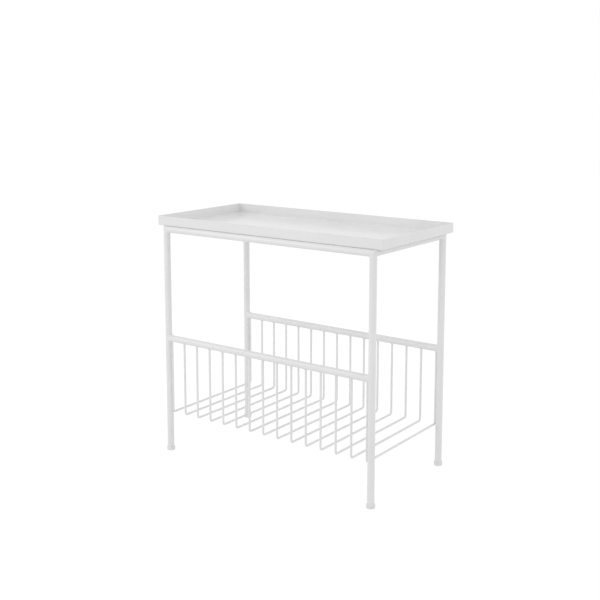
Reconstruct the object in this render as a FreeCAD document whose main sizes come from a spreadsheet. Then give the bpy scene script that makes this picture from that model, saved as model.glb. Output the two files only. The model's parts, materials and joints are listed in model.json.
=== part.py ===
import FreeCAD, Part
import math
import os
import Sketcher

# Magazine side table: a lift-off tray of folded sheet steel on a welded frame of round steel tube.
# Bent wires welded under the two lower rails hang as a rack for magazines between the legs.
# Lengths are in millimetres. +X runs along the long side, +Y to the back and +Z up.
# The origin is on the floor, in the middle of the four feet.

WIRE_COUNT = 15
SIDES = (("left", -1), ("right", 1))
FACES = (("front", -1), ("back", 1))

# Driving dimensions: name, value and what it measures
SIZES = (
    ("table_height", 460.0, "floor to the top of the tray's rim"),
    ("tray_length", 500.0, "outside of the tray along X"),
    ("frame_depth", 250.0, "outside of the legs along Y"),
    ("tray_end_overhang", 13.65, "end of the tray beyond the outside of the legs"),
    ("tray_side_setback", 3.5, "side of the tray behind the outside of the legs"),
    ("tray_rim_height", 18.0, "underside of the tray to the top of its rim"),
    ("tray_sheet", 1.2, "thickness of the tray's steel"),
    ("tray_corner_radius", 0.6, "inside of the tray's upright corners"),
    ("tray_bend_radius", 0.6, "inside of the bend between floor and rim"),
    ("tray_edge_radius", 0.4, "rounding of the rim's upper edges"),
    ("tray_seat_gap", 0.2, "underside of the tray to the top rails"),
    ("tube_diameter", 12.7, "outside of the legs and rails"),
    ("tube_wall", 1.2, "thickness of the tube's wall"),
    ("weld_root_gap", 0.1, "coped end to the tube that it is welded to"),
    ("rack_rail_height", 224.0, "floor to the axis of the rack rails"),
    ("rack_floor_height", 78.0, "floor to the axis of the wires' bottom runs"),
    ("wire_diameter", 4.0, "outside of a rack wire"),
    ("wire_bend_radius", 5.0, "axis of a rack wire's bends"),
    ("foot_height", 7.0, "floor to the top of a foot cap"),
    ("foot_floor", 3.0, "plastic between the floor and a leg's end"),
    ("foot_wall", 1.3, "plastic round a leg's end"),
    ("foot_fit", 0.1, "foot cap's bore to the leg, on the radius"),
    ("foot_edge_radius", 1.0, "rounding of a foot cap's outer edges"),
    ("bumper_diameter", 12.0, "outside of a tray bumper"),
    ("bumper_height", 5.0, "underside of the tray to the tip of a bumper"),
    ("bumper_edge_radius", 1.5, "rounding of a bumper's lower edge"),
    ("bumper_gap", 1.0, "tray bumper to the rails beside it"),
)

# Places that several pieces share, worked out from the driving dimensions
TUBE_RADIUS = "sizes.tube_diameter / 2"
LEG_X = "(sizes.tray_length / 2 - sizes.tray_end_overhang - sizes.tube_diameter / 2)"
LEG_Y = "(sizes.frame_depth / 2 - sizes.tube_diameter / 2)"
TRAY_Z = "(sizes.table_height - sizes.tray_rim_height)"
TRAY_DEPTH = "(sizes.frame_depth - 2 * sizes.tray_side_setback)"
TOP_RAIL_Z = f"({TRAY_Z} - sizes.tray_seat_gap - {TUBE_RADIUS})"
COPE_DIAMETER = "(sizes.tube_diameter + 2 * sizes.weld_root_gap)"
MITRE_REACH = "(2 * sizes.tube_diameter)"
END_WIRE_X = f"({LEG_X} - {TUBE_RADIUS} - sizes.weld_root_gap - sizes.wire_diameter / 2)"
FOOT_BORE = "(sizes.tube_diameter + 2 * sizes.foot_fit)"
FOOT_DIAMETER = f"({FOOT_BORE} + 2 * sizes.foot_wall)"
BUMPER_INSET = f"({TUBE_RADIUS} + sizes.bumper_gap + sizes.bumper_diameter / 2)"

# The sketch solver's index numbers for a curve's start, end and centre, and for the sketch's own axes
START_INDEX = 1
END_INDEX = 2
CENTRE_INDEX = 3
ROOT_INDEX = -1
UPRIGHT_AXIS_INDEX = -2

# Edges this close to a height, in millimetres, count as lying at it
LEVEL_TOLERANCE = 1e-4

# The largest part of a wall that its roundings may take away together
ROUNDED_SHARE = 0.8

doc = FreeCAD.newDocument("magazine_table")


def add_sheet():
    """The spreadsheet of driving dimensions."""
    sheet = doc.addObject("Spreadsheet::Sheet", "sizes")
    for row, (name, value, meaning) in enumerate(SIZES, start=1):
        sheet.set(f"A{row}", meaning)
        sheet.set(f"B{row}", str(value))
        sheet.setAlias(f"B{row}", name)
    doc.recompute()
    return sheet


sheet = add_sheet()


def measure(expression):
    """The present value of an expression, for a first guess that the sketch solver starts from."""
    return float(sheet.evalExpression(expression.replace("sizes.", "")))


def place(piece, across="0", along="0", up="0"):
    """Ties a piece's place to expressions for X, Y and Z."""
    for axis, expression in zip("xyz", (across, along, up)):
        piece.setExpression(f"Placement.Base.{axis}", expression)


def add_body(label):
    body = doc.addObject("PartDesign::Body", label)
    body.Label = label
    return body


def add_sketch(body, name, role, lift="0"):
    """A sketch on one of the body's own origin planes, raised along that plane's normal."""
    sketch = body.newObject("Sketcher::SketchObject", name)
    plane = next(feature for feature in body.Origin.OriginFeatures if feature.Role == role)
    sketch.AttachmentSupport = [(plane, "")]
    sketch.MapMode = "FlatFace"
    sketch.setExpression("AttachmentOffset.Base.z", lift)
    return sketch


def tie(sketch, kind, *elements, to):
    """A dimension in a sketch that follows an expression."""
    index = sketch.addConstraint(Sketcher.Constraint(kind, *elements, measure(to)))
    sketch.setExpression(f"Constraints[{index}]", to)


def add_circle(sketch, diameter, across="0", up="0"):
    centre = FreeCAD.Vector(measure(across), measure(up), 0)
    circle = sketch.addGeometry(Part.Circle(centre, FreeCAD.Vector(0, 0, 1), measure(diameter) / 2))
    tie(sketch, "Diameter", circle, to=diameter)
    tie(sketch, "DistanceX", ROOT_INDEX, START_INDEX, circle, CENTRE_INDEX, to=across)
    tie(sketch, "DistanceY", ROOT_INDEX, START_INDEX, circle, CENTRE_INDEX, to=up)


def add_lines(sketch, corners, closed=True):
    """Straight lines through corners that each follow a pair of expressions."""
    points = [FreeCAD.Vector(measure(across), measure(up), 0) for across, up in corners]
    count = len(points) if closed else len(points) - 1
    lines = []
    for index in range(count):
        segment = Part.LineSegment(points[index], points[(index + 1) % len(points)])
        lines.append(sketch.addGeometry(segment))
    for before, after in zip(lines, lines[1:] + lines[:1] if closed else lines[1:]):
        sketch.addConstraint(Sketcher.Constraint("Coincident", before, END_INDEX, after, START_INDEX))
    ends = [(line, START_INDEX) for line in lines]
    if not closed:
        ends.append((lines[-1], END_INDEX))
    for end, (across, up) in zip(ends, corners):
        tie(sketch, "DistanceX", ROOT_INDEX, START_INDEX, *end, to=across)
        tie(sketch, "DistanceY", ROOT_INDEX, START_INDEX, *end, to=up)


def add_pad(body, sketch, length, symmetric=False):
    pad = body.newObject("PartDesign::Pad", "pad")
    pad.Profile = sketch
    pad.SideType = "Symmetric" if symmetric else "One side"
    pad.setExpression("Length", length)
    return pad


def add_through_cut(body, sketch):
    """A pocket that runs right through the body, to both sides of its sketch."""
    pocket = body.newObject("PartDesign::Pocket", "through_cut")
    pocket.Profile = sketch
    pocket.Type = "ThroughAll"
    pocket.SideType = "Symmetric"
    return pocket


def add_pipe(body, profile, path, transition="Transformed"):
    pipe = body.newObject("PartDesign::AdditivePipe", "pipe")
    pipe.Profile = profile
    pipe.Spine = (path, [f"Edge{number}" for number in range(1, path.GeometryCount + 1)])
    pipe.Transition = transition
    return pipe


def add_fillet(body, base, chosen, radius):
    """Rounds the edges of the feature before it that pass the test."""
    doc.recompute()
    edges = base.Shape.Edges
    names = [f"Edge{number}" for number, edge in enumerate(edges, start=1) if chosen(edge)]
    fillet = body.newObject("PartDesign::Fillet", "fillet")
    fillet.Base = (base, names)
    fillet.setExpression("Radius", radius)
    return fillet


def lies_at(edge, height):
    """Whether an edge lies level at this height."""
    box = edge.BoundBox
    return max(abs(box.ZMin - height), abs(box.ZMax - height)) < LEVEL_TOLERANCE


def add_tube(body, role, length, symmetric=True):
    """A round tube square to one of the body's origin planes, which halves it unless it starts there."""
    section = add_sketch(body, "section", role)
    add_circle(section, "sizes.tube_diameter")
    add_circle(section, "(sizes.tube_diameter - 2 * sizes.tube_wall)")
    return add_pad(body, section, length, symmetric)


def make_leg(label, side, face):
    """A leg, whose upper end is cut at 45 degrees for the mitre with the front or back top rail."""
    leg = add_body(label)
    mitre_height = f"({TOP_RAIL_Z} - sizes.foot_floor)"
    add_tube(leg, "XY_Plane", f"({mitre_height} + sizes.tube_diameter)", symmetric=False)
    mitre = add_sketch(leg, "mitre", "XZ_Plane")
    outer = f"{side} * {MITRE_REACH}"
    inner = f"{-side} * {MITRE_REACH}"
    high = f"({mitre_height} + {MITRE_REACH})"
    low = f"({mitre_height} - {MITRE_REACH})"
    add_lines(mitre, ((outer, high), (inner, high), (inner, low)))
    add_through_cut(leg, mitre)
    place(leg, f"{side} * {LEG_X}", f"{face} * {LEG_Y}", "sizes.foot_floor")
    return leg


def make_long_top_rail(label, face):
    """The front or back top rail, mitred to its two legs."""
    rail = add_body(label)
    add_tube(rail, "YZ_Plane", f"2 * ({LEG_X} + sizes.tube_diameter)")
    for name, side in SIDES:
        mitre = add_sketch(rail, f"mitre_{name}", "XZ_Plane")
        outer = f"{side} * ({LEG_X} + {MITRE_REACH})"
        inner = f"{side} * ({LEG_X} - {MITRE_REACH})"
        add_lines(mitre, ((outer, MITRE_REACH), (outer, f"-{MITRE_REACH}"), (inner, f"-{MITRE_REACH}")))
        add_through_cut(rail, mitre)
    place(rail, along=f"{face} * {LEG_Y}", up=TOP_RAIL_Z)
    return rail


def make_corner_cutter(face):
    """The outside of the front or back pair of legs with their rail, grown by the weld's root gap."""
    cutter = add_body(f"corner_cutter_{face}")
    low = f"({TOP_RAIL_Z} - {MITRE_REACH})"
    profile = add_sketch(cutter, "profile", "XY_Plane", low)
    add_circle(profile, COPE_DIAMETER, f"-{LEG_X}")
    path = add_sketch(cutter, "path", "XZ_Plane")
    corners = ((f"-{LEG_X}", low), (f"-{LEG_X}", TOP_RAIL_Z), (LEG_X, TOP_RAIL_Z), (LEG_X, low))
    add_lines(path, corners, closed=False)
    add_pipe(cutter, profile, path, "Right corner")
    place(cutter, along=f"{face} * {LEG_Y}")
    return cutter


def make_short_top_rail(label, side, cutters):
    """The left or right top rail, whose ends are coped round the mitred corners."""
    tube = add_body(f"{label}_tube")
    add_tube(tube, "XZ_Plane", f"2 * {LEG_Y}")
    place(tube, f"{side} * {LEG_X}", up=TOP_RAIL_Z)
    rail = tube
    for cutter in cutters:
        cut = doc.addObject("Part::Cut", "cope")
        cut.Base = rail
        cut.Tool = cutter
        rail = cut
    rail.Label = label
    return rail


def make_rack_rail(label, face):
    """A rack rail, coped between its two legs."""
    rail = add_body(label)
    add_tube(rail, "YZ_Plane", f"2 * {LEG_X}")
    copes = add_sketch(rail, "copes", "XY_Plane")
    for _, side in SIDES:
        add_circle(copes, COPE_DIAMETER, f"{side} * {LEG_X}")
    add_through_cut(rail, copes)
    place(rail, along=f"{face} * {LEG_Y}", up="sizes.rack_rail_height")
    return rail


def add_wire_path(wire):
    """The axis of a rack wire: down from one rack rail, across and up to the other."""
    path = add_sketch(wire, "path", "YZ_Plane")
    half = measure(LEG_Y)
    top = measure("sizes.rack_rail_height")
    floor = measure("sizes.rack_floor_height")
    bend = measure("sizes.wire_bend_radius")
    point = FreeCAD.Vector
    left_centre = point(bend - half, floor + bend)
    right_centre = point(half - bend, floor + bend)
    normal = point(0, 0, 1)
    left_circle = Part.Circle(left_centre, normal, bend)
    right_circle = Part.Circle(right_centre, normal, bend)
    down = path.addGeometry(Part.LineSegment(point(-half, top), point(-half, floor + bend)))
    left = path.addGeometry(Part.ArcOfCircle(left_circle, math.pi, 1.5 * math.pi))
    run = path.addGeometry(Part.LineSegment(point(bend - half, floor), point(half - bend, floor)))
    right = path.addGeometry(Part.ArcOfCircle(right_circle, 1.5 * math.pi, 2 * math.pi))
    rise = path.addGeometry(Part.LineSegment(point(half, floor + bend), point(half, top)))
    for before, after in ((down, left), (left, run), (run, right), (right, rise)):
        path.addConstraint(Sketcher.Constraint("Tangent", before, END_INDEX, after, START_INDEX))
    path.addConstraint(Sketcher.Constraint("Vertical", down))
    path.addConstraint(Sketcher.Constraint("Equal", left, right))
    ends = (down, START_INDEX, rise, END_INDEX)
    path.addConstraint(Sketcher.Constraint("Symmetric", *ends, UPRIGHT_AXIS_INDEX))
    tie(path, "Radius", left, to="sizes.wire_bend_radius")
    tie(path, "DistanceX", ROOT_INDEX, START_INDEX, rise, END_INDEX, to=LEG_Y)
    tie(path, "DistanceY", ROOT_INDEX, START_INDEX, rise, END_INDEX, to="sizes.rack_rail_height")
    tie(path, "DistanceY", ROOT_INDEX, START_INDEX, run, START_INDEX, to="sizes.rack_floor_height")
    return path


def make_rack_wire(label, share):
    """One bent wire of the rack, coped under both rack rails, at a share of the way along the rack."""
    wire = add_body(label)
    profile = add_sketch(wire, "profile", "XY_Plane", "sizes.rack_rail_height")
    add_circle(profile, "sizes.wire_diameter", up=f"-{LEG_Y}")
    add_pipe(wire, profile, add_wire_path(wire))
    copes = add_sketch(wire, "copes", "YZ_Plane")
    for _, face in FACES:
        add_circle(copes, COPE_DIAMETER, f"{face} * {LEG_Y}", "sizes.rack_rail_height")
    add_through_cut(wire, copes)
    place(wire, f"{share} * {END_WIRE_X}")
    return wire


def make_foot(label, side, face):
    """A plastic cap pushed on to a leg's lower end."""
    foot = add_body(label)
    outline = add_sketch(foot, "outline", "XZ_Plane")
    bore = f"{FOOT_BORE} / 2"
    edge = f"{FOOT_DIAMETER} / 2"
    top = "sizes.foot_height"
    seat = "sizes.foot_floor"
    add_lines(outline, (("0", "0"), (edge, "0"), (edge, top), (bore, top), (bore, seat), ("0", seat)))
    turned = foot.newObject("PartDesign::Revolution", "turned")
    turned.Profile = outline
    turned.ReferenceAxis = (outline, ["V_Axis"])
    radius = measure(edge)
    outer_edges = (0.0, measure(top))

    def on_outside(rim):
        at_rim = any(lies_at(rim, height) for height in outer_edges)
        return at_rim and abs(rim.BoundBox.XMax - radius) < LEVEL_TOLERANCE

    add_fillet(foot, turned, on_outside, f"min(sizes.foot_edge_radius; {ROUNDED_SHARE} * sizes.foot_wall)")
    place(foot, f"{side} * {LEG_X}", f"{face} * {LEG_Y}")
    return foot


def make_tray():
    """The tray: a folded sheet with its rim turned up all round."""
    tray = add_body("tray")
    outline = add_sketch(tray, "outline", "XY_Plane")
    half_length = "sizes.tray_length / 2"
    half_depth = f"{TRAY_DEPTH} / 2"
    corners = ((f"-{half_length}", f"-{half_depth}"), (half_length, f"-{half_depth}"),
               (half_length, half_depth), (f"-{half_length}", half_depth))
    add_lines(outline, corners)
    block = add_pad(tray, outline, "sizes.tray_rim_height")
    rim_top = measure("sizes.tray_rim_height")
    upright = add_fillet(tray, block, lambda edge: edge.BoundBox.ZLength > rim_top / 2,
                         "(sizes.tray_corner_radius + sizes.tray_sheet)")
    bend = add_fillet(tray, upright, lambda edge: lies_at(edge, 0.0),
                      "(min(sizes.tray_bend_radius; sizes.tray_corner_radius) + sizes.tray_sheet)")
    doc.recompute()
    faces = bend.Shape.Faces
    names = [f"Face{number}" for number, side in enumerate(faces, start=1) if lies_at(side, rim_top)]
    folded = tray.newObject("PartDesign::Thickness", "folded")
    folded.Base = (bend, names)
    folded.Reversed = True
    folded.setExpression("Value", "sizes.tray_sheet")
    add_fillet(tray, folded, lambda edge: lies_at(edge, rim_top),
               f"min(sizes.tray_edge_radius; {ROUNDED_SHARE} * sizes.tray_sheet / 2)")
    place(tray, up=TRAY_Z)
    return tray


def make_bumper(label, side, face):
    """A rubber bumper under the tray, which sits inside a corner of the top frame."""
    bumper = add_body(label)
    outline = add_sketch(bumper, "outline", "XY_Plane")
    add_circle(outline, "sizes.bumper_diameter")
    disc = add_pad(bumper, outline, "sizes.bumper_height")
    add_fillet(bumper, disc, lambda edge: lies_at(edge, 0.0),
               f"min(sizes.bumper_edge_radius; {ROUNDED_SHARE} * sizes.bumper_height)")
    place(bumper, f"{side} * ({LEG_X} - {BUMPER_INSET})", f"{face} * ({LEG_Y} - {BUMPER_INSET})",
          f"({TRAY_Z} - sizes.bumper_height)")
    return bumper


def make_pieces():
    """Every piece of the table."""
    pieces = [make_tray()]
    cutters = []
    for face_name, face in FACES:
        for side_name, side in SIDES:
            corner = f"{face_name}_{side_name}"
            pieces.append(make_leg(f"leg_{corner}", side, face))
            pieces.append(make_foot(f"foot_{corner}", side, face))
            pieces.append(make_bumper(f"tray_bumper_{corner}", side, face))
        pieces.append(make_long_top_rail(f"top_rail_{face_name}", face))
        pieces.append(make_rack_rail(f"rack_rail_{face_name}", face))
        cutters.append(make_corner_cutter(face))
    for side_name, side in SIDES:
        pieces.append(make_short_top_rail(f"top_rail_{side_name}", side, cutters))
    for number in range(WIRE_COUNT):
        share = f"({number} / {WIRE_COUNT - 1} * 2 - 1)"
        pieces.append(make_rack_wire(f"rack_wire_{number + 1:02d}", share))
    return pieces


def check(pieces):
    """Stops if anything failed to build or a piece isn't one sound solid."""
    for thing in doc.Objects:
        if "Invalid" in thing.State or "Error" in thing.State:
            raise RuntimeError(f"{thing.Label} failed: {thing.State}")
    for piece in pieces:
        shape = piece.Shape
        if shape.isNull() or not shape.isValid() or len(shape.Solids) != 1:
            raise RuntimeError(f"{piece.Label} is not one sound solid")


pieces = make_pieces()
doc.recompute()
check(pieces)
os.makedirs("parts", exist_ok=True)
for piece in pieces:
    piece.Shape.exportStep(os.path.join("parts", f"{piece.Label}.step"))
print(len(pieces), "pieces written")
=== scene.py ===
"""Looks of the magazine table with rack.

Its finishes and weld beads, and the floor, the light and the camera round it.
"""

import json
import math
from collections import namedtuple

import bmesh
import bpy
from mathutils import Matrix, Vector

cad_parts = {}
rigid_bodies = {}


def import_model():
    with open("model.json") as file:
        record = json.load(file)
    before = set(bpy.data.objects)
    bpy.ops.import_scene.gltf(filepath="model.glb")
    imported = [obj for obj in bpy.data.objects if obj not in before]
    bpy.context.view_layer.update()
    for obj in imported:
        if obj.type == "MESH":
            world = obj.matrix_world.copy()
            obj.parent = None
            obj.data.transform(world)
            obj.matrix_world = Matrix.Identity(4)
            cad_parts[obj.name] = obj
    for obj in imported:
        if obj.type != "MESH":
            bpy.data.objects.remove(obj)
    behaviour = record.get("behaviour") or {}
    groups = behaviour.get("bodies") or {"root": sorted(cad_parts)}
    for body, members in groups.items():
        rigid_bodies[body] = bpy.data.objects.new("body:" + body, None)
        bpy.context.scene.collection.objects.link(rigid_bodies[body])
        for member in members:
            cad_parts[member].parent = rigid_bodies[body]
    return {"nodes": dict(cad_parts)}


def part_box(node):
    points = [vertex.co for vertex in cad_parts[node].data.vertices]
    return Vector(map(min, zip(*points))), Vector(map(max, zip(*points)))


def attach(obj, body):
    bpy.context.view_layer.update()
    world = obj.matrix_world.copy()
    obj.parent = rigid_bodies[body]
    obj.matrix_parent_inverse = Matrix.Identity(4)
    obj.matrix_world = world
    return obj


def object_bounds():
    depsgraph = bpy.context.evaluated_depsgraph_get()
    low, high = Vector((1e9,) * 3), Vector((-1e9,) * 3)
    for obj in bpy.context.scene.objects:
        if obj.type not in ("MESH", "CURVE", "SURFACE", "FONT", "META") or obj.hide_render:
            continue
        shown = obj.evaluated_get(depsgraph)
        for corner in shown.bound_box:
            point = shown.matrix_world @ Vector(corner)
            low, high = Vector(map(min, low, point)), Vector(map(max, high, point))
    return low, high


for leftover in list(bpy.data.objects):
    bpy.data.objects.remove(leftover)

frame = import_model()
cad_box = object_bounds()
nodes = frame["nodes"]

MM = 0.001

# Sizes of the weld beads, in millimetres
TUBE_BEAD_TOE = 4.0          # how far a bead runs out on each tube, where the tubes meet square
FLUSH_TOE_SHARE = 0.4        # the part of that toe left where the two skins run flush
WIRE_BEAD_TOE = 2.4
BEAD_CROWN_SHARE = 0.12      # how far a bead's middle swells out of a hollow fillet, as a part of its toe
BEAD_FADE = 0.6              # the part of a tube's radius over which a bead thins out towards its end
BEAD_END_SHARE = 0.08        # the part of the toe left at that end
BEAD_RIPPLE_PITCH = 1.6      # from one frozen ripple of the weld pool to the next
BEAD_RIPPLE_SHARE = 0.3      # the ripple's height as a part of the crown
BEAD_SINK = 0.12             # how deep the edges of a bead lie under the skins
BEAD_ROOT = 0.8              # how deep the back of a bead lies under the seam
KINK_ROUNDING = 0.02         # rounds the two sharp turns of a seam between equal tubes
TUBE_SEAM_STEPS = 160
WIRE_SEAM_STEPS = 48
BEAD_ARC_STEPS = 8

X_AXIS = Vector((1, 0, 0))
Y_AXIS = Vector((0, 1, 0))
Z_AXIS = Vector((0, 0, 1))

SIDES = {"left": 1, "right": -1}      # the way from a leg towards the middle, along X
FACES = {"front": 1, "back": -1}      # and along Y
WIRE_COUNT = 15


# Tubes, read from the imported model

Tube = namedtuple("Tube", ("middle", "axis", "radius"))


def tube_of(node, axis):
    """A node that is a straight tube: the middle of its axis, the axis and the outside radius."""
    low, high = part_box(node)
    across = [high[i] - low[i] for i in range(3) if not axis[i]]
    return Tube((low + high) / 2, axis, min(across) / 2)


def out_of(tube, point):
    """The direction straight out of a tube's skin at a point."""
    away = point - tube.middle
    return (away - tube.axis * away.dot(tube.axis)).normalized()


def onto(tube, point):
    """A point moved straight onto a tube's skin."""
    along = tube.axis * (point - tube.middle).dot(tube.axis)
    return tube.middle + along + out_of(tube, point) * tube.radius


# Weld beads

def bead_section(seam, first, second, direction, turn, toe, crown):
    """One cross-section of a bead: an arc from the first skin to the second, and its hidden root."""
    first_out = out_of(first, seam)
    second_out = out_of(second, seam)
    outward = (first_out + second_out).normalized()
    first_toe = onto(first, seam + direction.cross(first_out) * turn * toe) - first_out * BEAD_SINK * MM
    second_toe = onto(second, seam - direction.cross(second_out) * turn * toe) - second_out * BEAD_SINK * MM
    hollow = seam + outward * crown
    section = []
    for step in range(BEAD_ARC_STEPS + 1):
        share = step / BEAD_ARC_STEPS
        rest = 1 - share
        section.append(first_toe * rest * rest + hollow * 2 * rest * share + second_toe * share * share)
    section.append(seam - outward * BEAD_ROOT * MM)
    return section


def bead_turn(seams, directions):
    """Plus or minus one: the way across the seam to the first toe, with both toes in the open corner."""
    lean = 0.0
    for (seam, first, second, _), direction in zip(seams, directions):
        lean += direction.cross(out_of(first, seam)).dot(out_of(second, seam))
    return 1 if lean > 0 else -1


def add_bead(shape, seams, closed):
    """Adds one bead to a shape. seams lists its places as (point, first tube, second tube, toe)."""
    count = len(seams)
    points = [seam[0] for seam in seams]
    directions = []
    for i in range(count):
        before = points[i - 1] if closed or i else points[i]
        after = points[(i + 1) % count] if closed or i < count - 1 else points[i]
        directions.append((after - before).normalized())
    turn = bead_turn(seams, directions)
    rings = []
    travelled = 0.0
    for i, (point, first, second, toe) in enumerate(seams):
        travelled += (point - points[i - 1]).length if i else 0.0
        ripple = math.cos(math.tau * travelled / (BEAD_RIPPLE_PITCH * MM))
        swell = toe * BEAD_CROWN_SHARE * (1 + BEAD_RIPPLE_SHARE * ripple)
        section = bead_section(point, first, second, directions[i], turn, toe, swell)
        rings.append([shape.verts.new(corner) for corner in section])
    corners = len(rings[0])
    for i in range(count if closed else count - 1):
        ring = rings[i]
        following = rings[(i + 1) % count]
        for j in range(corners):
            k = (j + 1) % corners
            shape.faces.new((ring[j], ring[k], following[k], following[j]))
    if not closed:
        shape.faces.new(rings[0][::-1])
        shape.faces.new(rings[-1])


def add_piece(name, shape, body, material):
    """Turns a finished shape into a smooth piece that rides a body."""
    bmesh.ops.recalc_face_normals(shape, faces=shape.faces)
    mesh = bpy.data.meshes.new(name)
    shape.to_mesh(mesh)
    shape.free()
    mesh.shade_smooth()
    mesh.materials.append(material)
    piece = bpy.data.objects.new(name, mesh)
    bpy.context.scene.collection.objects.link(piece)
    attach(piece, body)
    return piece


def toe_at(squareness, room=1.0):
    """The toe of a tube bead: full where the tubes meet square, and small where their skins run flush.

    room is the way left to the bead's end, or to the mitre that it crosses, as a part of the tube's radius.
    """
    share = FLUSH_TOE_SHARE + (1 - FLUSH_TOE_SHARE) * squareness
    fade = max(min(room / BEAD_FADE, 1), BEAD_END_SHARE)
    return TUBE_BEAD_TOE * share * fade * MM


def rack_rail_seam(leg, rail, inward):
    """The seam round a rack rail where it is coped to a leg."""
    seams = []
    radius = rail.radius
    for step in range(TUBE_SEAM_STEPS):
        angle = math.tau * step / TUBE_SEAM_STEPS
        reach = math.sqrt(math.sin(angle) ** 2 + KINK_ROUNDING)
        point = Vector((
            leg.middle.x + inward * radius * reach,
            rail.middle.y + radius * math.cos(angle),
            rail.middle.z + radius * math.sin(angle),
        ))
        seams.append((point, leg, rail, toe_at(abs(math.sin(angle)))))
    return seams


def mitre_seam(leg, rail, inward):
    """The inner half of the seam where a leg and a long top rail are mitred."""
    seams = []
    radius = rail.radius
    steps = TUBE_SEAM_STEPS // 2
    for step in range(1, steps):
        angle = math.pi * step / steps
        depth = radius * math.sin(angle)
        point = Vector((
            leg.middle.x + inward * depth,
            rail.middle.y + radius * math.cos(angle),
            rail.middle.z - depth,
        ))
        seams.append((point, leg, rail, toe_at(math.sin(angle), room=math.sin(angle))))
    return seams


def side_rail_seam(leg, long_rail, side_rail, inward, rearward):
    """The seam round a side top rail where it is coped to a leg below and to a long rail above."""
    seams = []
    radius = side_rail.radius
    for step in range(TUBE_SEAM_STEPS):
        angle = math.tau * step / TUBE_SEAM_STEPS
        inner = math.cos(angle)
        upper = math.sin(angle)
        meets_leg = inner + upper < 0
        squareness = abs(upper) if meets_leg else abs(inner)
        reach = math.sqrt(squareness ** 2 + KINK_ROUNDING)
        point = Vector((
            leg.middle.x + inward * radius * inner,
            leg.middle.y + rearward * radius * reach,
            side_rail.middle.z + radius * upper,
        ))
        toe = toe_at(squareness, room=abs(inner + upper))
        seams.append((point, leg if meets_leg else long_rail, side_rail, toe))
    return seams


def wire_seam(wire, rail):
    """The seam round the top of a rack wire, under a rack rail."""
    seams = []
    radius = wire.radius
    for step in range(WIRE_SEAM_STEPS):
        angle = math.tau * step / WIRE_SEAM_STEPS
        across = radius * math.sin(angle)
        point = Vector((
            wire.middle.x + radius * math.cos(angle),
            wire.middle.y + across,
            rail.middle.z - math.sqrt(rail.radius ** 2 - across ** 2),
        ))
        seams.append((point, wire, rail, WIRE_BEAD_TOE * MM))
    return seams


def make_corner_welds(material):
    """The beads at the four top corners and the four ends of the rack rails."""
    for face, rearward in FACES.items():
        long_rail = tube_of(f"top_rail_{face}", X_AXIS)
        rack_rail = tube_of(f"rack_rail_{face}", X_AXIS)
        for side, inward in SIDES.items():
            leg = tube_of(f"leg_{face}_{side}", Z_AXIS)
            side_rail = tube_of(f"top_rail_{side}", Y_AXIS)
            corner = bmesh.new()
            add_bead(corner, mitre_seam(leg, long_rail, inward), closed=False)
            cope = side_rail_seam(leg, long_rail, side_rail, inward, rearward)
            add_bead(corner, cope, closed=True)
            add_piece(f"weld_top_{face}_{side}", corner, "frame", material)
            end = bmesh.new()
            add_bead(end, rack_rail_seam(leg, rack_rail, inward), closed=True)
            add_piece(f"weld_rack_{face}_{side}", end, "frame", material)


def make_wire_welds(material):
    """The small beads that hold the wires under the rack rails."""
    for face in FACES:
        rail = tube_of(f"rack_rail_{face}", X_AXIS)
        beads = bmesh.new()
        for number in range(1, WIRE_COUNT + 1):
            low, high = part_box(f"rack_wire_{number:02d}")
            radius = (high.x - low.x) / 2
            wire = Tube(Vector(((low.x + high.x) / 2, rail.middle.y, 0)), Z_AXIS, radius)
            add_bead(beads, wire_seam(wire, rail), closed=True)
        add_piece(f"weld_wires_{face}", beads, "frame", material)


# Finishes

def linear(hex_colour):
    """A colour written as sRGB hex, as linear light for a shader."""
    channels = [int(hex_colour[i:i + 2], 16) / 255 for i in (1, 3, 5)]
    light = [c / 12.92 if c <= 0.04045 else ((c + 0.055) / 1.055) ** 2.4 for c in channels]
    return (*light, 1.0)


def per_metre(size_mm):
    """The scale of a pattern whose features are this many millimetres apart."""
    return 1 / (size_mm * MM)


def add_node(tree, kind, settings, links=()):
    """Adds a shader node, with its properties and input values, and links to its inputs."""
    node = tree.nodes.new(kind)
    for name, value in settings.items():
        if hasattr(node, name):
            setattr(node, name, value)
        else:
            node.inputs[name].default_value = value
    for name, output in links:
        tree.links.new(output, node.inputs[name])
    return node


def new_tree(name):
    """A new material with an empty node tree."""
    material = bpy.data.materials.new(name)
    material.use_nodes = True
    material.node_tree.nodes.clear()
    return material, material.node_tree


# Powder coat
COAT_TONES = ("#EDEDED", "#F1F1F1")
COAT_TONE_PLACES = (0.3, 0.7)    # where in the film's pattern these two lie
COAT_IOR = 1.5                   # polyester resin
FILM_PATCH = 70.0                # millimetres, from one thicker patch of the film to the next
FILM_DETAIL = 2.0                # how many finer layers the pattern has
FILM_GLOSS_SHIFT = 0.04          # how far the roughness swings about its mean
PEEL_DETAIL = 3.0

# Polyethylene
PLASTIC_TONES = ("#E9E9E7", "#EFEFED")
PLASTIC_ROUGHNESS = (0.5, 0.66)
PLASTIC_IOR = 1.51
PLASTIC_CLOUD = 9.0              # millimetres, from one milkier spot to the next
PLASTIC_CLOUD_DETAIL = 1.0
PLASTIC_GRAIN = 0.8              # millimetres, drawn coarser than spark erosion leaves it, so that it shows
PLASTIC_GRAIN_DETAIL = 2.0
PLASTIC_GRAIN_DEPTH = 0.03       # millimetres
PLASTIC_GRAIN_STRENGTH = 0.35

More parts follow.
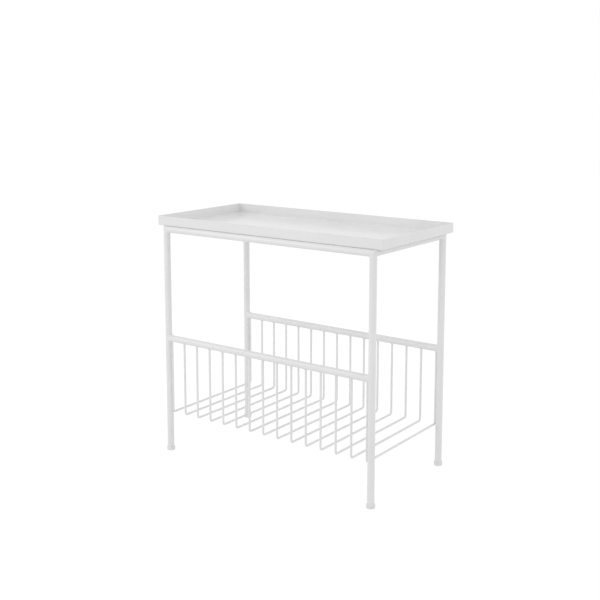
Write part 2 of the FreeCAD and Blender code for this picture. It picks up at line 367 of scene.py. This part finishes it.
# Silicone rubber
RUBBER_TONES = ("#CFCFCC", "#DADAD7")
RUBBER_ROUGHNESS = (0.45, 0.65)
RUBBER_IOR = 1.41
RUBBER_BLOOM = 3.0               # millimetres, from one dull spot to the next
RUBBER_BLOOM_DETAIL = 3.0
RUBBER_MILKINESS = 0.4           # the share of the light that sinks in
RUBBER_LIGHT_DEPTH = 3.0         # millimetres, how far it spreads there


def white_powder_coat(name, peel_mm, peel_depth_mm, peel_strength, roughness):
    """Polyester powder coat, sprayed on as dry powder and baked.

    It gives the eye a satin white skin with soft highlights. The melted powder sets in shallow hills, an
    orange peel. The film is a little thicker in some places than in others, which shifts its tone and its
    gloss very slightly.
    """
    material, tree = new_tree(name)
    place = add_node(tree, "ShaderNodeTexCoord", {}).outputs["Object"]
    film = add_node(
        tree,
        "ShaderNodeTexNoise",
        {"Scale": per_metre(FILM_PATCH), "Detail": FILM_DETAIL},
        [("Vector", place)],
    )
    tone = add_node(tree, "ShaderNodeValToRGB", {}, [("Fac", film.outputs["Fac"])])
    for stop, position, colour in zip(tone.color_ramp.elements, COAT_TONE_PLACES, COAT_TONES):
        stop.position = position
        stop.color = linear(colour)
    gloss = add_node(
        tree,
        "ShaderNodeMapRange",
        {"To Min": roughness - FILM_GLOSS_SHIFT, "To Max": roughness + FILM_GLOSS_SHIFT},
        [("Value", film.outputs["Fac"])],
    )
    peel = add_node(
        tree, "ShaderNodeTexNoise", {"Scale": per_metre(peel_mm), "Detail": PEEL_DETAIL}, [("Vector", place)]
    )
    bump = add_node(
        tree,
        "ShaderNodeBump",
        {"Strength": peel_strength, "Distance": peel_depth_mm * MM},
        [("Height", peel.outputs["Fac"])],
    )
    skin = add_node(
        tree,
        "ShaderNodeBsdfPrincipled",
        {"IOR": COAT_IOR},
        [
            ("Base Color", tone.outputs["Color"]),
            ("Roughness", gloss.outputs["Result"]),
            ("Normal", bump.outputs["Normal"]),
        ],
    )
    add_node(tree, "ShaderNodeOutputMaterial", {}, [("Surface", skin.outputs["BSDF"])])
    return material


def moulded_polyethylene(name):
    """White polyethylene, injection moulded in a spark-eroded mould.

    It gives the eye a waxy, cloudy white, duller than the coat, with a fine even grain.
    """
    material, tree = new_tree(name)
    place = add_node(tree, "ShaderNodeTexCoord", {}).outputs["Object"]
    cloud = add_node(
        tree,
        "ShaderNodeTexNoise",
        {"Scale": per_metre(PLASTIC_CLOUD), "Detail": PLASTIC_CLOUD_DETAIL},
        [("Vector", place)],
    )
    tone = add_node(tree, "ShaderNodeValToRGB", {}, [("Fac", cloud.outputs["Fac"])])
    for stop, colour in zip(tone.color_ramp.elements, PLASTIC_TONES):
        stop.color = linear(colour)
    grain = add_node(
        tree,
        "ShaderNodeTexNoise",
        {"Scale": per_metre(PLASTIC_GRAIN), "Detail": PLASTIC_GRAIN_DETAIL},
        [("Vector", place)],
    )
    smoothest, roughest = PLASTIC_ROUGHNESS
    rough = add_node(
        tree,
        "ShaderNodeMapRange",
        {"To Min": smoothest, "To Max": roughest},
        [("Value", grain.outputs["Fac"])],
    )
    bump = add_node(
        tree,
        "ShaderNodeBump",
        {"Strength": PLASTIC_GRAIN_STRENGTH, "Distance": PLASTIC_GRAIN_DEPTH * MM},
        [("Height", grain.outputs["Fac"])],
    )
    skin = add_node(
        tree,
        "ShaderNodeBsdfPrincipled",
        {"IOR": PLASTIC_IOR},
        [
            ("Base Color", tone.outputs["Color"]),
            ("Roughness", rough.outputs["Result"]),
            ("Normal", bump.outputs["Normal"]),
        ],
    )
    add_node(tree, "ShaderNodeOutputMaterial", {}, [("Surface", skin.outputs["BSDF"])])
    return material


def moulded_silicone(name):
    """Milky silicone rubber, moulded in discs.

    It gives the eye a soft grey white that light sinks into, with a dull bloom on its skin.
    """
    material, tree = new_tree(name)
    place = add_node(tree, "ShaderNodeTexCoord", {}).outputs["Object"]
    bloom = add_node(
        tree,
        "ShaderNodeTexNoise",
        {"Scale": per_metre(RUBBER_BLOOM), "Detail": RUBBER_BLOOM_DETAIL},
        [("Vector", place)],
    )
    tone = add_node(tree, "ShaderNodeValToRGB", {}, [("Fac", bloom.outputs["Fac"])])
    for stop, colour in zip(tone.color_ramp.elements, RUBBER_TONES):
        stop.color = linear(colour)
    smoothest, roughest = RUBBER_ROUGHNESS
    rough = add_node(
        tree,
        "ShaderNodeMapRange",
        {"To Min": smoothest, "To Max": roughest},
        [("Value", bloom.outputs["Fac"])],
    )
    skin = add_node(
        tree,
        "ShaderNodeBsdfPrincipled",
        {
            "IOR": RUBBER_IOR,
            "Subsurface Weight": RUBBER_MILKINESS,
            "Subsurface Scale": RUBBER_LIGHT_DEPTH * MM,
        },
        [("Base Color", tone.outputs["Color"]), ("Roughness", rough.outputs["Result"])],
    )
    add_node(tree, "ShaderNodeOutputMaterial", {}, [("Surface", skin.outputs["BSDF"])])
    return material


# The hills of the orange peel are drawn at the coarse end of what such coats have, so that they show
sheet_coat = white_powder_coat(
    "powder_coat_baked_on_sheet_steel", peel_mm=7, peel_depth_mm=0.03, peel_strength=0.25, roughness=0.17
)
tube_coat = white_powder_coat(
    "powder_coat_baked_on_steel_tube", peel_mm=5, peel_depth_mm=0.05, peel_strength=0.25, roughness=0.24
)
weld_coat = white_powder_coat(
    "powder_coat_baked_over_weld_beads", peel_mm=2, peel_depth_mm=0.08, peel_strength=0.4, roughness=0.27
)
foot_plastic = moulded_polyethylene("polyethylene_injection_moulded")
bumper_rubber = moulded_silicone("silicone_rubber_moulded")

FINISHES = {
    "tray_powder_coat": sheet_coat,
    "frame_powder_coat": tube_coat,
    "foot_plastic": foot_plastic,
    "bumper_rubber": bumper_rubber,
}
for node in nodes.values():
    for slot in node.material_slots:
        slot.material = FINISHES[slot.material.name]

make_corner_welds(weld_coat)
make_wire_welds(weld_coat)


# Floor and light

WHITE = "#FFFFFF"
PAPER_TONE = "#EEEEEE"
FLOOR_SIZE = 40.0            # metres
FLOOR_WHITENESS = 0.78       # how much of the floor's picture is plain white; the rest shows the shadow
FLOOR_WHITE = 1.1            # makes up for that grey rest, so that the open floor is white
WALL_LIGHT = 1.05            # the white room's light from level all round
CEILING_LIGHT = 0.65         # and from straight above
ROOM_WHITE = 1.0             # how white the room looks, straight or mirrored
KEY_POWER = 3.8              # watts
KEY_SIZE = 0.8               # metres, as are the places and the sizes below
KEY_PLACE = Vector((-1.15, -1.35, 1.15))
FILL_POWER = 6.0
FILL_SIZE = 3.2
FILL_PLACE = Vector((3.8, 0.4, 2.2))


def seen_share(tree):
    """One for what the camera sees, straight, mirrored or through glass, and nought for light on its way."""
    rays = add_node(tree, "ShaderNodeLightPath", {})
    mirrored = add_node(
        tree,
        "ShaderNodeMath",
        {"operation": "MAXIMUM"},
        [(0, rays.outputs["Is Glossy Ray"]), (1, rays.outputs["Is Transmission Ray"])],
    )
    seen = add_node(
        tree,
        "ShaderNodeMath",
        {"operation": "MAXIMUM"},
        [(0, rays.outputs["Is Camera Ray"]), (1, mirrored.outputs["Value"])],
    )
    return seen.outputs["Value"]


def add_floor():
    """A plain white floor, which takes the table's shadow."""
    shape = bmesh.new()
    bmesh.ops.create_grid(shape, x_segments=1, y_segments=1, size=FLOOR_SIZE / 2)
    mesh = bpy.data.meshes.new("floor")
    shape.to_mesh(mesh)
    shape.free()
    material, tree = new_tree("matt_white_paper")
    whiteness = add_node(
        tree, "ShaderNodeMapRange", {"To Min": 0.0, "To Max": FLOOR_WHITENESS}, [("Value", seen_share(tree))]
    )
    paper = add_node(tree, "ShaderNodeBsdfDiffuse", {"Color": linear(PAPER_TONE), "Roughness": 0.0})
    white = add_node(tree, "ShaderNodeEmission", {"Color": linear(WHITE), "Strength": FLOOR_WHITE})
    surface = add_node(
        tree,
        "ShaderNodeMixShader",
        {},
        [(0, whiteness.outputs["Result"]), (1, paper.outputs["BSDF"]), (2, white.outputs["Emission"])],
    )
    add_node(tree, "ShaderNodeOutputMaterial", {}, [("Surface", surface.outputs["Shader"])])
    mesh.materials.append(material)
    floor = bpy.data.objects.new("floor", mesh)
    bpy.context.scene.collection.objects.link(floor)


def add_room():
    """A white room, which lights the table from its walls more than its ceiling and shows white behind it."""
    world = bpy.data.worlds.new("white_room")
    world.use_nodes = True
    tree = world.node_tree
    tree.nodes.clear()
    way = add_node(tree, "ShaderNodeTexCoord", {}).outputs["Generated"]
    height = add_node(tree, "ShaderNodeSeparateXYZ", {}, [("Vector", way)]).outputs["Z"]
    light = add_node(
        tree, "ShaderNodeMapRange", {"To Min": WALL_LIGHT, "To Max": CEILING_LIGHT}, [("Value", height)]
    )
    strength = add_node(
        tree,
        "ShaderNodeMapRange",
        {"To Max": ROOM_WHITE},
        [("Value", seen_share(tree)), ("To Min", light.outputs["Result"])],
    )
    back = add_node(
        tree,
        "ShaderNodeBackground",
        {"Color": linear(WHITE)},
        [("Strength", strength.outputs["Result"])],
    )
    add_node(tree, "ShaderNodeOutputWorld", {}, [("Surface", back.outputs["Background"])])
    bpy.context.scene.world = world


def add_softbox(name, place, aim, size, power):
    """A square soft box that faces a point."""
    light = bpy.data.lights.new(name, "AREA")
    light.shape = "SQUARE"
    light.size = size
    light.energy = power
    lamp = bpy.data.objects.new(name, light)
    lamp.location = place
    lamp.rotation_euler = (aim - place).to_track_quat("-Z", "Y").to_euler()
    bpy.context.scene.collection.objects.link(lamp)


add_floor()
add_room()
table_middle = (cad_box[0] + cad_box[1]) / 2
add_softbox("key_softbox", KEY_PLACE, table_middle, KEY_SIZE, KEY_POWER)
add_softbox("fill_softbox", FILL_PLACE, table_middle, FILL_SIZE, FILL_POWER)


# Camera

CAMERA_PLACE = Vector((1.0706, -1.4698, 0.7077))     # metres
CAMERA_YAW = 36.18           # degrees, to the left of straight ahead
CAMERA_PITCH = 8.45          # degrees, downwards
CAMERA_LENS = 59.5           # millimetres
CAMERA_SENSOR = 36.0         # millimetres wide
CAMERA_SHIFT = -0.115        # the photograph's verticals are nearly parallel

camera_data = bpy.data.cameras.new("camera")
camera_data.sensor_width = CAMERA_SENSOR
camera_data.lens = CAMERA_LENS
camera_data.shift_y = CAMERA_SHIFT
camera = bpy.data.objects.new("camera", camera_data)
camera.location = CAMERA_PLACE
camera.rotation_euler = (math.radians(90 - CAMERA_PITCH), 0, math.radians(CAMERA_YAW))
bpy.context.scene.collection.objects.link(camera)
bpy.context.scene.camera = camera
bpy.context.scene.view_settings.view_transform = "Standard"
